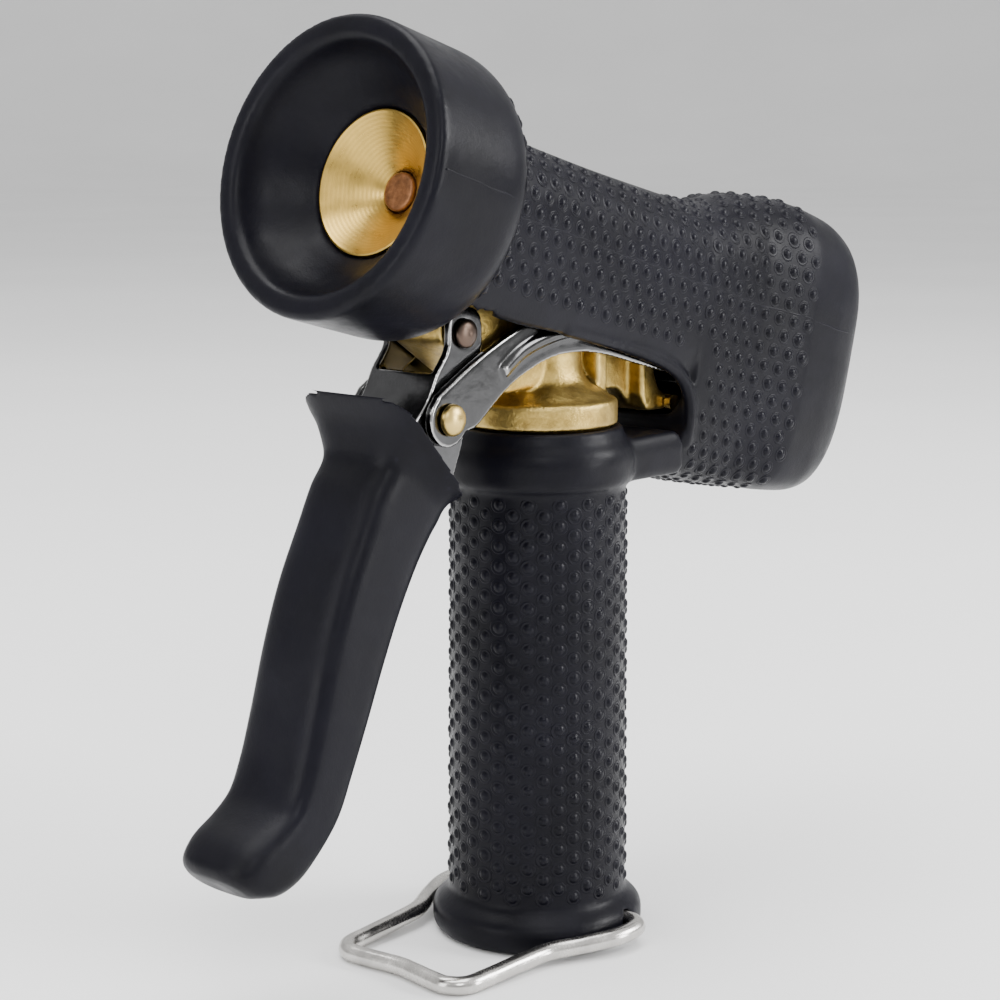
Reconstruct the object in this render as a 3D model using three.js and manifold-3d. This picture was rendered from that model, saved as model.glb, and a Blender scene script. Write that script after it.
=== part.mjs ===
// Hose spray nozzle: a brass valve body in a rubber skin, worked by a hand lever.
// Millimetres, +Z up along the grip, nozzle towards -X. The foot of the grip stands on Z = 0.

import * as THREE from 'three';
import { mergeVertices } from 'three/addons/utils/BufferGeometryUtils.js';
import Module from 'manifold-3d';

const wasm = await Module();
wasm.setup();

// Frame
const GRIP_X = -2.9;             // the grip axis, so that the whole object is centred on X = 0
const AXIS_Z = 155.3;            // height of the barrel axis above the foot, on the grip axis
const BARREL_TILT = 15.3;        // degrees, the nozzle end is the high end
const GAP = 0.3;                 // air between neighbouring pieces
const ROUND = 40;                // facets round a large turned piece
const FINE = 20;                 // facets round a small turned piece

// Nozzle cup and nozzle insert, distances are forward along the barrel axis
const CUP_RADIUS = 31;
const CUP_FRONT = 66.5;
const CUP_REAR = 36.2;
const ORIFICE_RADIUS = 4.44;
const ORIFICE_T = 44.5;
const INSERT_RADIUS = 15.2;
const INSERT_FRONT = 52.9;
const INSERT_STEP = 41;
const INSERT_REAR = 34;
const INSERT_SHANK = 11;

// Valve body
const BARREL_RADIUS = 12.5;
const BARREL_REAR = -46;
const CHAMBER_RADIUS = 8.5;
const DISC_RADIUS = 17.5;
const DISC_BOTTOM = 115.6;
const DISC_TOP = 121;
const BOSS_RADIUS = 15.8;
const BOSS_BOTTOM = 105;
const PASSAGE_RADIUS = 7.5;
const LUG_HALF = 7.2;
const FOOT_HALF = 8;
const SCREW = [36.2, 117.4];     // x, z of the screw across the rear foot

// Stem and what is on it
const STEM_RADIUS = 2.6;
const STEM_REAR = -73;
const GLAND_RADIUS = 9.6;
const NUT_FLATS = 11;

// Lever, link and pins
const PIVOT = [-34.3, 138.3];    // x, z of the lever pivot
const LINK = [-41, 121.2];       // x, z of the link pin at rest
const PIVOT_PIN_RADIUS = 2.4;
const LINK_PIN_RADIUS = 2;
const EAR_OUT = 9.5;
const SHEET = 1.8;
const YOKE_IN = EAR_OUT + GAP;
const YOKE_OUT = YOKE_IN + 2;
const LINK_SLACK = 1.5;          // extra radius of the lever's holes for the link pin
const YOKE_BRIDGE = -58;
const YOKE_LOW = -21.2;          // edges of the yoke's straps beside the barrel
const YOKE_HIGH = -11.8;

// Grip
const TUBE_RADIUS = 12.2;
const TUBE_BORE = 9.4;
const TUBE_BOTTOM = 17;
const TUBE_TOP = 117.5;
const BUSH_RADIUS = 15.2;
const BUSH_BOTTOM = 0.6;
const BUSH_TOP = 30;
const THREAD_MINOR = 9.3;
const THREAD_MAJOR = 10.5;
const THREAD_PITCH = 1.814;
const GRIP_RADIUS = 19.6;
const BEAD_OUTER = 23.8;
const BEAD_RADIUS = 3.93;
const COLLAR_BOTTOM = 102.5;
const COLLAR_TOP = 112.3;
const COLLAR_REAR = 30;

// Lever cover, down its length: x and z of the front edge, x and z of the rear edge, half width,
// and how square the section is
const LEVER = [
  [-57.6, 127, -39, 104.6, 15.8, 5],
  [-57.2, 121, -39.4, 102.8, 13.4, 4.6],
  [-57.4, 115, -40.6, 100, 11.5, 4.2],
  [-61.3, 108.8, -43.4, 96.6, 11.4, 4.2],
  [-65.1, 101, -47.3, 91.4, 11.4, 4.2],
  [-70.7, 89.5, -52.6, 82.2, 11.4, 4.2],
  [-75, 77.5, -57.4, 72.2, 11.4, 4.2],
  [-78.8, 64, -62.4, 61, 11.4, 4.2],
  [-82, 54, -66.8, 51.6, 11.4, 4.2],
  [-84.8, 48.6, -70.4, 43.8, 11.4, 4],
  [-89, 45.4, -76, 37, 11.4, 3.8],
  [-94, 42.8, -82.4, 31.8, 11.3, 3.6],
  [-97, 40, -87.4, 30.4, 10.8, 3.4],
  [-98.4, 37.4, -91, 30.8, 9.4, 3],
  [-98.2, 36, -92.4, 30.9, 7.8, 2.8],
  [-97.3, 34.8, -93.7, 31.6, 5, 2.4],
];
const SKIN = 1.9;                // rubber over the steel channel

// Bail
const WIRE_RADIUS = 2;
const BAIL_PIVOT = [5, 4.5];     // x, z of the bail's hinge line

const degrees = (angle) => THREE.MathUtils.degToRad(angle);

// ---------- helpers ----------

// A closed manifold solid from any closed three.js geometry.
function solid(geometry) {
  const bare = geometry.clone();
  bare.deleteAttribute('normal');
  bare.deleteAttribute('uv');
  const merged = mergeVertices(bare, 1e-4);
  const corners = merged.index.array;
  const place = merged.attributes.position;
  const p = [0, 1, 2].map(() => new THREE.Vector3());
  const kept = [];
  let volume = 0;
  for (let i = 0; i < corners.length; i += 3) {
    const [a, b, c] = [corners[i], corners[i + 1], corners[i + 2]];
    if (a === b || b === c || c === a) continue;
    kept.push([a, b, c]);
    [a, b, c].forEach((corner, k) => p[k].fromBufferAttribute(place, corner));
    volume += p[0].dot(p[1].cross(p[2]));
  }
  const triangles = kept.map(([a, b, c]) => (volume > 0 ? [a, b, c] : [a, c, b]));
  return new wasm.Manifold(new wasm.Mesh({
    numProp: 3,
    vertProperties: new Float32Array(place.array),
    triVerts: new Uint32Array(triangles.flat()),
  }));
}

// A body turned round the Z axis from [radius, z] points.
function turned(profile, facets = ROUND) {
  const points = profile.map(([radius, height]) => new THREE.Vector2(radius, height));
  return solid(new THREE.LatheGeometry(points, facets).rotateX(Math.PI / 2));
}

// A body turned round the barrel axis from [radius, forward] points.
function turnedOnBarrel(profile, facets = ROUND) {
  const points = profile.map(([radius, forward]) => new THREE.Vector2(radius, forward));
  return onBarrel(solid(new THREE.LatheGeometry(points, facets).rotateZ(Math.PI / 2)));
}

// Moves a solid from the level barrel frame to its place on the gun.
function onBarrel(body) {
  return body.rotate([0, BARREL_TILT, 0]).translate([0, 0, AXIS_Z]);
}

// x and z of a point given by its distance forward along, and up from, the barrel axis.
function barrelPoint(forward, up) {
  const tilt = degrees(BARREL_TILT);
  return [
    -forward * Math.cos(tilt) + up * Math.sin(tilt),
    AXIS_Z + forward * Math.sin(tilt) + up * Math.cos(tilt),
  ];
}

// A closed outline through [x, y, corner reach] points, each corner cut by a curve.
function outline(points) {
  const shape = new THREE.Shape();
  points.forEach(([x, y, radius = 0], i) => {
    const here = new THREE.Vector2(x, y);
    const before = new THREE.Vector2(...points[(i + points.length - 1) % points.length]);
    const after = new THREE.Vector2(...points[(i + 1) % points.length]);
    const room = Math.min(before.distanceTo(here), after.distanceTo(here)) * 0.49;
    const cut = Math.min(radius, room);
    const start = here.clone().add(before.sub(here).setLength(cut));
    const end = here.clone().add(after.sub(here).setLength(cut));
    if (i === 0) shape.moveTo(start.x, start.y);
    else shape.lineTo(start.x, start.y);
    if (cut > 0) shape.quadraticCurveTo(x, y, end.x, end.y);
  });
  shape.closePath();
  return shape;
}

// A plate cut to an x-z outline, between two y values.
function plate(shape, low, high, bevel = 0, curveSegments = 5) {
  const geometry = new THREE.ExtrudeGeometry(shape, {
    depth: high - low - 2 * bevel,
    curveSegments,
    bevelEnabled: bevel > 0,
    bevelThickness: bevel,
    bevelSize: bevel,
    bevelOffset: -bevel,
    bevelSegments: 1,
  });
  return solid(geometry.rotateX(Math.PI / 2).translate(0, high - bevel, 0));
}

function block(low, high) {
  const size = high.map((value, i) => value - low[i]);
  const centre = high.map((value, i) => (value + low[i]) / 2);
  return solid(new THREE.BoxGeometry(...size).translate(...centre));
}

// A round bar across the gun, along Y.
function crossBar([x, z], radius, low, high, facets = FINE) {
  return solid(new THREE.CylinderGeometry(radius, radius, high - low, facets)
    .translate(x, (low + high) / 2, z));
}

// A round wire along a curve.
function wire(curve, radius, steps, facets = 10) {
  const section = new THREE.Shape();
  section.absarc(0, 0, radius, 0, 2 * Math.PI);
  return solid(new THREE.ExtrudeGeometry(section, {
    steps,
    curveSegments: facets,
    bevelEnabled: false,
    extrudePath: curve,
  }));
}

// A skin through rounded sections. Each section has a centre, the two arms that reach its
// upper and lower edge in the x-z plane, a half width along Y, and how square it is.
function loft(sections, facets = 40) {
  const rows = sections.length - 1;
  const tube = new THREE.CylinderGeometry(1, 1, 1, facets, rows);
  const place = tube.attributes.position;
  const squared = (value, power) => (
    Math.abs(value) < 1e-9 ? 0 : Math.sign(value) * Math.abs(value) ** (2 / power));
  for (let i = 0; i < place.count; i += 1) {
    const section = sections[Math.round((0.5 - place.getY(i)) * rows)];
    const { centre: [x, z], up, down, half, power, foot = power } = section;
    const rise = place.getZ(i);
    const arm = rise >= 0 ? up : down;
    const reach = Math.abs(squared(rise, rise >= 0 ? power : foot));
    const side = squared(place.getX(i), rise >= 0 ? power : foot);
    place.setXYZ(i, x + arm[0] * reach, side * half, z + arm[1] * reach);
  }
  return solid(tube);
}

// A section square to the level barrel axis.
function barrelSection([forward, half, top, bottom, power, foot]) {
  return { centre: [-forward, 0], up: [0, top], down: [0, -bottom], half, power, foot };
}

// A section between a front point and a rear point of the lever.
function leverSection([frontX, frontZ, rearX, rearZ, half, power]) {
  const arm = [(frontX - rearX) / 2, (frontZ - rearZ) / 2];
  return {
    centre: [(frontX + rearX) / 2, (frontZ + rearZ) / 2],
    up: arm,
    down: arm.map((value) => -value),
    half,
    power,
  };
}

function hexagon(flats) {
  const radius = flats / Math.sqrt(3);
  const shape = new THREE.Shape();
  for (let i = 0; i < 6; i += 1) {
    const angle = degrees(60 * i);
    const point = [radius * Math.cos(angle), radius * Math.sin(angle)];
    if (i === 0) shape.moveTo(...point);
    else shape.lineTo(...point);
  }
  shape.closePath();
  return shape;
}

// A hexagon bar on the barrel axis, between two distances.
function barrelHexagon(flats, rear, front) {
  const geometry = new THREE.ExtrudeGeometry(hexagon(flats), {
    depth: front - rear, bevelEnabled: false,
  });
  return onBarrel(solid(geometry.translate(0, 0, rear).rotateY(-Math.PI / 2)));
}

// A ring on the barrel axis.
function barrelRing(inner, outer, rear, front, facets = FINE) {
  return turnedOnBarrel(
    [[inner, rear], [outer, rear], [outer, front], [inner, front], [inner, rear]], facets);
}

// A round bar on the barrel axis.
function barrelBar(radius, rear, front) {
  return turnedOnBarrel([[0, rear], [radius, rear], [radius, front], [0, front]], FINE);
}

// ---------- brass ----------

function neck() {
  return turned([
    [0, BOSS_BOTTOM], [BOSS_RADIUS, BOSS_BOTTOM], [BOSS_RADIUS, DISC_BOTTOM],
    [DISC_RADIUS - 0.6, DISC_BOTTOM], [DISC_RADIUS, DISC_BOTTOM + 0.6],
    [DISC_RADIUS, DISC_TOP - 0.8], [DISC_RADIUS - 0.8, DISC_TOP],
    [16, DISC_TOP + 0.6], [13.4, 123.1], [10.8, 124.8], [9.7, 126.4], [9.4, 128.4], [9.4, 152],
    [0, 152],
  ]);
}

// The two ribs, the rear web and the foot cast on behind the neck.
function rearFoot() {
  const web = outline([
    [6, 142], [30.5, 137], [30.8, 126, 4], [33.4, 120.2, 2], [39.2, 118.8, 1.2],
    [39.2, 115.9, 1.2], [28, 115.9, 3], [23, 121.4, 2], [6, 121.4],
  ]);
  const rib = outline([[9, 122], [12.6, 122], [12.6, 142], [9, 142]]);
  return plate(web, -4, 4, 0.5)
    .add(plate(outline([
      [26.4, 138], [30.5, 137], [30.8, 126, 4], [33.4, 120.2, 2], [39.2, 118.8, 1.2],
      [39.2, 115.9, 1.2], [28, 115.9, 3], [26.4, 120],
    ]), -FOOT_HALF, FOOT_HALF, 0.6))
    .add(plate(rib, -9.4, 9.4, 0.5));
}

// The lug that carries the lever pivot, with the fairing back to the neck.
function frontLug() {
  const [x, z] = PIVOT;
  return plate(outline([
    [x - 3.4, z + 14], [x - 5.2, z - 1.3, 2.5], [x + 7.3, z - 9.6, 3], [x + 15, z - 14.4, 3],
    [0, 125.4, 2], [0, 150],
  ]), -LUG_HALF, LUG_HALF, 0.6);
}

function valveBody() {
  const barrel = turnedOnBarrel([
    [0, BARREL_REAR], [11.7, BARREL_REAR], [BARREL_RADIUS, BARREL_REAR + 0.8],
    [BARREL_RADIUS, 26], [14.2, 30], [14.2, 40.4], [0, 40.4],
  ]);
  const chamber = turnedOnBarrel([
    [0, BARREL_REAR - 1], [GLAND_RADIUS + 0.4, BARREL_REAR - 1],
    [GLAND_RADIUS + 0.4, BARREL_REAR + 9], [CHAMBER_RADIUS, BARREL_REAR + 9],
    [CHAMBER_RADIUS, INSERT_REAR - GAP], [INSERT_SHANK + GAP, INSERT_REAR - GAP],
    [INSERT_SHANK + GAP, 41], [0, 41],
  ]);
  const passage = turned([
    [0, BOSS_BOTTOM - 1], [TUBE_RADIUS + GAP, BOSS_BOTTOM - 1],
    [TUBE_RADIUS + GAP, TUBE_TOP + GAP], [PASSAGE_RADIUS, TUBE_TOP + 3],
    [PASSAGE_RADIUS, 152], [0, 152],
  ], 28);
  return barrel.add(neck()).add(frontLug()).add(rearFoot())
    .subtract(chamber)
    .subtract(passage)
    .subtract(crossBar(PIVOT, PIVOT_PIN_RADIUS + GAP, -12, 12))
    .subtract(coverScrewBore());
}

function coverScrewBore() {
  return crossBar(SCREW, 1.2 + GAP, -12, 12, 16);
}

function coverScrew() {
  const [x, z] = SCREW;
  const head = solid(new THREE.CylinderGeometry(1.9, 1.9, 1.6, 20).translate(x, -9.1, z));
  const tail = solid(new THREE.CylinderGeometry(1.9, 1.9, 1.6, 20).translate(x, 9.1, z));
  return crossBar(SCREW, 1.2, -9, 9, 16).add(head).add(tail);
}

function nozzleInsert() {
  return turnedOnBarrel([
    [ORIFICE_RADIUS, ORIFICE_T - 1.2], [ORIFICE_RADIUS, ORIFICE_T],
    [INSERT_RADIUS - 0.6, INSERT_FRONT], [INSERT_RADIUS, INSERT_FRONT - 0.6],
    [INSERT_RADIUS, INSERT_STEP], [INSERT_SHANK, INSERT_STEP], [INSERT_SHANK, INSERT_REAR],
    [8.2, INSERT_REAR], [8.2, 40.2], [5.4, 40.2], [5.4, ORIFICE_T - 1.2],
    [ORIFICE_RADIUS, ORIFICE_T - 1.2],
  ], 40);
}

function glandNut() {
  return barrelBar(GLAND_RADIUS, BARREL_REAR - 1, BARREL_REAR + 2.2)
    .add(barrelHexagon(19, BARREL_REAR - 5, BARREL_REAR - GAP))
    .subtract(barrelBar(STEM_RADIUS + GAP, BARREL_REAR - 9, BARREL_REAR + 9));
}

// A nut on the stem.
function stemNut(rear, front) {
  return barrelHexagon(NUT_FLATS, rear, front)
    .subtract(barrelBar(STEM_RADIUS + GAP, rear - 1, front + 1));
}

function inletTube() {
  return turned([
    [TUBE_BORE, TUBE_BOTTOM], [TUBE_RADIUS, TUBE_BOTTOM], [TUBE_RADIUS, TUBE_TOP],
    [TUBE_BORE, TUBE_TOP], [TUBE_BORE, TUBE_BOTTOM],
  ], 32);
}

function inletBush() {
  const profile = [[THREAD_MAJOR, BUSH_BOTTOM], [BUSH_RADIUS - 0.8, BUSH_BOTTOM],
    [BUSH_RADIUS, BUSH_BOTTOM + 0.8], [BUSH_RADIUS, BUSH_TOP], [TUBE_RADIUS + GAP, BUSH_TOP],
    [TUBE_RADIUS + GAP, TUBE_BOTTOM - GAP], [7.6, TUBE_BOTTOM - GAP], [7.6, 14.4],
    [THREAD_MAJOR, 14.4]];
  for (let crest = 4; crest >= 0; crest -= 1) {
    const height = BUSH_BOTTOM + 1 + crest * THREAD_PITCH;
    profile.push([THREAD_MAJOR, height + THREAD_PITCH / 2 + 0.2]);
    profile.push([THREAD_MINOR, height + 0.2]);
  }
  profile.push([THREAD_MAJOR, BUSH_BOTTOM]);
  const sockets = crossBar(BAIL_PIVOT, WIRE_RADIUS + GAP, -20, 20)
    .subtract(crossBar(BAIL_PIVOT, 5, -13, 13));
  return turned(profile, 28).subtract(sockets);
}

// ---------- rubber ----------

// The outside of the cover: barrel sleeve and rear block, then the cup.
function coverSkin() {
  const sleeve = loft([
    [40, 16.6, 18.6, 24, 2.5, 6], [16, 16.4, 18, 24, 2.5, 6], [0, 16.2, 18.1, 24, 2.5, 6],
    [-24, 16, 18.8, 24, 2.5, 6], [-43, 16, 19.8, 24, 2.5, 6], [-43.4, 16.2, 19.9, 43.8, 2.5, 5],
    [-50, 16.4, 21.4, 43.8, 2.5, 5], [-55, 16.4, 23.6, 43.6, 2.5, 5],
    [-60, 16.5, 25.4, 43.6, 2.6, 5], [-64.5, 16.5, 26.6, 43.3, 2.6, 5],
    [-72, 18.4, 27.7, 42.6, 2.8, 5], [-80, 20.2, 28.2, 42, 3, 5], [-90, 20.3, 27.8, 41.2, 3, 5],
    [-96, 19.9, 26.2, 40, 3, 4.4], [-100, 18.9, 23.4, 37.4, 2.9, 4],
    [-102.4, 17.2, 20.4, 34.6, 2.8, 3.6], [-103.4, 14.4, 16.6, 31, 2.6, 3.2],
  ].map(barrelSection), 44);
  return onBarrel(sleeve).add(turnedOnBarrel([
    [0, CUP_REAR], [22, CUP_REAR], [26.2, 37.1], [28.7, 38.8], [30.2, 41.4], [30.8, 45],
    [CUP_RADIUS, 65.4], [30.8, 66.2], [30.3, CUP_FRONT], [0, CUP_FRONT],
  ], 52));
}

// The hollow of the cover: cup mouth, nozzle pocket, barrel bay, lever bay and rear chamber.
function coverHollow() {
  const mouth = turnedOnBarrel([
    [0, 38], [INSERT_RADIUS + GAP, 38], [INSERT_RADIUS + GAP, 53.2], [17.4, 54.4],
    [23.6, 60.4], [25.4, 63.6], [26.2, 65.4], [27.2, CUP_FRONT], [27.6, 68], [0, 68],
  ], 52);
  const bay = loft([
    [40.7, 14.5, 14.5, 14.5, 2, 2], [36.6, 14.5, 14.5, 14.5, 2, 2],
    [36.2, 14.5, 14.5, 30, 2, 8], [25.6, 14.5, 14.5, 30, 2, 8], [25, 12.9, 12.9, 30, 2.1, 8],
    [-42, 12.9, 13.4, 30, 2.1, 8], [-51, 13, 17.4, 30, 2.4, 6], [-56, 13, 20, 38.6, 2.4, 6],
    [-66, 13.4, 23, 38.4, 2.4, 6], [-80, 16.6, 24.4, 37.6, 2.6, 5],
    [-92, 16.6, 24, 36.8, 2.6, 5], [-99.6, 14.4, 18, 32, 2.6, 4],
  ].map(barrelSection), 32);
  return mouth.add(onBarrel(bay)).add(leverBay());
}

// The space under the sleeve where the lever, the links and the neck come out.
function leverBay() {
  const floor = COLLAR_TOP + GAP;
  return plate(outline([
    [-41, 100], [-41, 144.6], [-21, 139.2], [0, 134.9], [34.2, 124, 9.5],
    [33.8, floor - 1.4, 1.5], [COLLAR_REAR + GAP, floor - 1.4], [COLLAR_REAR + GAP, 100],
  ]), -24, 24);
}

function bodyCover() {
  return coverSkin().subtract(coverHollow());
}

// The collar under the mechanism: round in front, straight-sided behind.
function collarShape(radius, halfWidth, rear) {
  const shape = new THREE.Shape();
  const turn = Math.asin(halfWidth / radius);
  shape.moveTo(rear, -halfWidth);
  shape.lineTo(rear, halfWidth);
  shape.absarc(0, 0, radius, turn, 2 * Math.PI - turn, false);
  shape.closePath();
  return shape;
}

function gripSleeve() {
  const outer = turned([
    [0, 0], [BEAD_OUTER - BEAD_RADIUS, 0], [21.9, 0.5], [23.3, 2], [BEAD_OUTER, BEAD_RADIUS],
    [23.3, 5.9], [21.9, 7.4], [20.6, 8.3], [20, 10.2], [GRIP_RADIUS, 60], [19.4, COLLAR_BOTTOM],
    [19.4, 106], [0, 106],
  ]);
  const collar = new THREE.ExtrudeGeometry(collarShape(21.4, 17.6, COLLAR_REAR), {
    depth: COLLAR_TOP - COLLAR_BOTTOM - 1.6,
    curveSegments: 22,
    bevelThickness: 0.8,
    bevelSize: 0.8,
    bevelOffset: -0.8,
    bevelSegments: 2,
  }).translate(0, 0, COLLAR_BOTTOM + 0.8);
  const shelf = turned([
    [0, 110], [20.4, 111], [18.6, DISC_BOTTOM - GAP], [0, DISC_BOTTOM - GAP],
  ]);
  const bore = turned([
    [0, -1], [BUSH_RADIUS + GAP, -1], [BUSH_RADIUS + GAP, BUSH_TOP + GAP],
    [TUBE_RADIUS + GAP, BUSH_TOP + GAP], [TUBE_RADIUS + GAP, BOSS_BOTTOM - GAP],
    [BOSS_RADIUS + GAP, BOSS_BOTTOM - GAP], [BOSS_RADIUS + GAP, 118], [0, 118],
  ]);
  return outer.add(solid(collar)).add(shelf).subtract(bore)
    .subtract(crossBar(BAIL_PIVOT, WIRE_RADIUS + GAP, -26, 26));
}

// ---------- lever ----------

// The rounded space inside the lever cover, left open at the top.
function leverInside(inset) {
  const rows = LEVER.slice(2).map(([frontX, frontZ, rearX, rearZ, half, power]) => {
    const depth = Math.hypot(rearX - frontX, rearZ - frontZ);
    const [dx, dz] = [(rearX - frontX) * inset / depth, (rearZ - frontZ) * inset / depth];
    return [frontX + dx, frontZ + dz, rearX - dx, rearZ - dz, half - inset, power];
  });
  return loft([[-64, 156, -10, 150, 15, 8], [-57, 118, -30, 114, 12, 8], ...rows]
    .map(leverSection), 28);
}

function channelBlank(grow, half, top) {
  return plate(outline([
    [-42 - grow, top, 1], [-45.2 - grow, 125, 3], [-57 - grow, 113.6, 6], [-70 - grow, 86, 6],
    [-78 - grow, 62 - grow, 1], [-64 + grow, 60 - grow, 1], [-54.6 + grow, 82, 5],
    [-44 + grow, 98, 5], [-33.4 + grow, 112, 6], [-31 + grow, top, 4],
  ]), -half, half);
}

function triggerCover() {
  const pocket = channelBlank(GAP, EAR_OUT + GAP, 150).intersect(leverInside(SKIN));
  return loft(LEVER.map(leverSection), 32).subtract(pocket);
}

// Folded steel channel: the front web and two ears that reach up to the pivot.
function triggerChannel() {
  const [px, pz] = PIVOT;
  const [lx, lz] = LINK;
  const profile = outline([
    [-42.4, 130.6, 0.8], [-38.7, 135.2, 2], [px - 4.3, pz + 5.4, 4.2], [px + 5.6, pz + 5.4, 4.6],
    [px + 5.6, pz - 6, 4], [lx + 5.4, lz + 8, 4], [lx + 7.6, lz - 3, 5], [-38.6, 106, 6],
    [-44, 98, 4], [-54.6, 82, 5], [-64, 60, 1], [-78, 62, 1], [-70, 86, 6],
    [-57, 113.6, 6], [-45.2, 125, 3],
  ]);
  const core = outline([
    [-20, 146], [-39.6, 146], [-39.6, 131.6, 0.4], [-43.2, 125, 2], [-55, 113, 6],
    [-67.4, 85.6, 6], [-76.4, 56], [-50, 52], [-20, 90],
  ]);
  const ears = block([-60, -EAR_OUT + SHEET, 130.4], [-20, EAR_OUT - SHEET, 150]);
  const holes = crossBar(PIVOT, PIVOT_PIN_RADIUS + GAP, -12, 12)
    .add(crossBar(LINK, LINK_PIN_RADIUS + LINK_SLACK, -12, 12));
  return plate(profile, -EAR_OUT, EAR_OUT, 0.5)
    .intersect(leverInside(SKIN + GAP))
    .subtract(plate(core, -EAR_OUT + SHEET, EAR_OUT - SHEET))
    .subtract(ears)
    .subtract(holes);
}

// A pin with a domed head on each end.
function headedPin(centre, radius, headRadius, dome, seat) {
  const half = seat + GAP / 2;
  const profile = [[0, -half - dome], [headRadius * 0.62, -half - dome * 0.8],
    [headRadius * 0.92, -half - dome * 0.4], [headRadius, -half], [radius, -half],
    [radius, half], [headRadius, half], [headRadius * 0.92, half + dome * 0.4],
    [headRadius * 0.62, half + dome * 0.8], [0, half + dome]];
  const points = profile.map(([r, y]) => new THREE.Vector2(r, y));
  const [x, z] = centre;
  return solid(new THREE.LatheGeometry(points, FINE).translate(x, 0, z));
}

const pivotPin = () => headedPin(PIVOT, PIVOT_PIN_RADIUS, 3, 1.3, EAR_OUT + GAP);
const linkPin = () => headedPin(LINK, LINK_PIN_RADIUS, 3.35, 2.2, YOKE_OUT + GAP);

// ---------- link yoke ----------

// One arm: from the link pin up beside the barrel, then back along it to the bridge.
function yokeArm(side) {
  const [lx, lz] = LINK;
  const bend = [[24, -46.5, 5], [14.4, -33.6, 6], [3.4, -25.6, 6], [-6, -22.3, 6],
    [-16, YOKE_LOW, 4], [YOKE_BRIDGE, YOKE_LOW, 0.5], [YOKE_BRIDGE, YOKE_HIGH, 0.5],
    [0, YOKE_HIGH, 12], [14.4, -21.2, 8], [25.4, -30, 6], [36, -40.6, 2],
  ].map(([forward, up, radius]) => [...barrelPoint(forward, up), radius]);
  const low = side > 0 ? YOKE_IN : -YOKE_OUT;
  const high = side > 0 ? YOKE_OUT : -YOKE_IN;
  const eye = crossBar([lx, lz], 5.7, low, high, 24);
  const rib = yokeRib(side);
  return plate(outline(bend), low, high, 0, 6)
    .add(eye)
    .add(rib)
    .subtract(crossBar(LINK, LINK_PIN_RADIUS + GAP, -16, 16));
}

// The half-round stiffening rib pressed out of an arm.
function yokeRib(side) {
  const points = [[17.2, -31.2], [12.6, -26.2], [5.6, -21.8], [-3, -18.4], [-14, -17.4]]
    .map(([forward, up]) => barrelPoint(forward, up))
    .map(([x, z]) => new THREE.Vector3(x, side * (YOKE_OUT - 0.6), z));
  const curve = new THREE.CatmullRomCurve3(points);
  const keep = side > 0
    ? block([-60, YOKE_IN + 0.4, 100], [40, YOKE_OUT + 0.8, 180])
    : block([-60, -YOKE_OUT - 0.8, 100], [40, -YOKE_IN - 0.4, 180]);
  return wire(curve, 1.5, 14, 6).intersect(keep);
}

function linkYoke() {
  const bridge = outline([
    [-YOKE_OUT, YOKE_LOW, 1], [YOKE_OUT, YOKE_LOW, 1], [YOKE_OUT, YOKE_HIGH, 2], [7.4, 7.4, 5],
    [-7.4, 7.4, 5], [-YOKE_OUT, YOKE_HIGH, 2],
  ]);
  const plateBack = new THREE.ExtrudeGeometry(bridge, {
    depth: 2.2, curveSegments: 5, bevelEnabled: false,
  }).rotateY(Math.PI / 2).rotateX(Math.PI / 2);
  const back = onBarrel(solid(plateBack.translate(-YOKE_BRIDGE - 0.2, 0, 0)));
  return yokeArm(1).add(yokeArm(-1)).add(back)
    .subtract(barrelBar(STEM_RADIUS + GAP, YOKE_BRIDGE - 6, YOKE_BRIDGE + 6));
}

// ---------- stem ----------

function valveStem() {
  return turnedOnBarrel([
    [0, STEM_REAR], [STEM_RADIUS - 0.5, STEM_REAR], [STEM_RADIUS, STEM_REAR + 0.5],
    [STEM_RADIUS, 30.6], [1.6, 30.6], [1.6, 41.6], [0, 41.6],
  ], FINE);
}

function spindleTip() {
  return turnedOnBarrel([
    [0, 42], [1.6 + GAP, 42], [1.6 + GAP, 38.5], [3.4, 38.5], [4.1, 39.3], [4.1, 44.9],
    [3.7, 45.3], [0, 45.4],
  ], FINE);
}

function valvePlug() {
  return turnedOnBarrel([
    [1.6 + GAP, 31], [6.6, 31], [7.2, 31.6], [7.2, 34.6], [4.4, 37.6], [2.8, 38.2],
    [1.6 + GAP, 38.2], [1.6 + GAP, 31],
  ], 24);
}

// The spring's helix, round the barrel axis in the level barrel frame.
class Helix extends THREE.Curve {
  constructor(radius, rear, front, turns) {
    super();
    Object.assign(this, { radius, rear, front, turns });
  }

  getPoint(share, target = new THREE.Vector3()) {
    const angle = 2 * Math.PI * this.turns * share;
    const forward = this.rear + (this.front - this.rear) * share;
    return target.set(-forward, this.radius * Math.cos(angle), this.radius * Math.sin(angle));
  }
}

function returnSpring() {
  return onBarrel(wire(new Helix(5.6, -34.8, 29.4, 8), 0.8, 88, 3));
}

// ---------- bail ----------

function bail() {
  const [x, z] = BAIL_PIVOT;
  const floor = WIRE_RADIUS;
  const slope = (z - floor) / 46;
  const at = (ahead, y) => new THREE.Vector3(x - ahead, y, Math.max(z - slope * ahead, floor));
  const half = [[0, 13.4], [0, 20], [0, 24], [1.6, 26.4], [5, 27], [9, 26.6], [16, 23.8],
    [24, 20], [32, 19], [42, 18.4], [48, 17.6], [50.6, 14.6], [50.6, 10], [49.8, 4], [49.4, 0]];
  const near = half.map(([ahead, y]) => at(ahead, -y));
  const far = half.slice(0, -1).reverse().map(([ahead, y]) => at(ahead, y));
  const curve = new THREE.CatmullRomCurve3([...near, ...far], false, 'centripetal');
  return wire(curve, WIRE_RADIUS, 54, 4);
}

// ---------- assembly ----------

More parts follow.
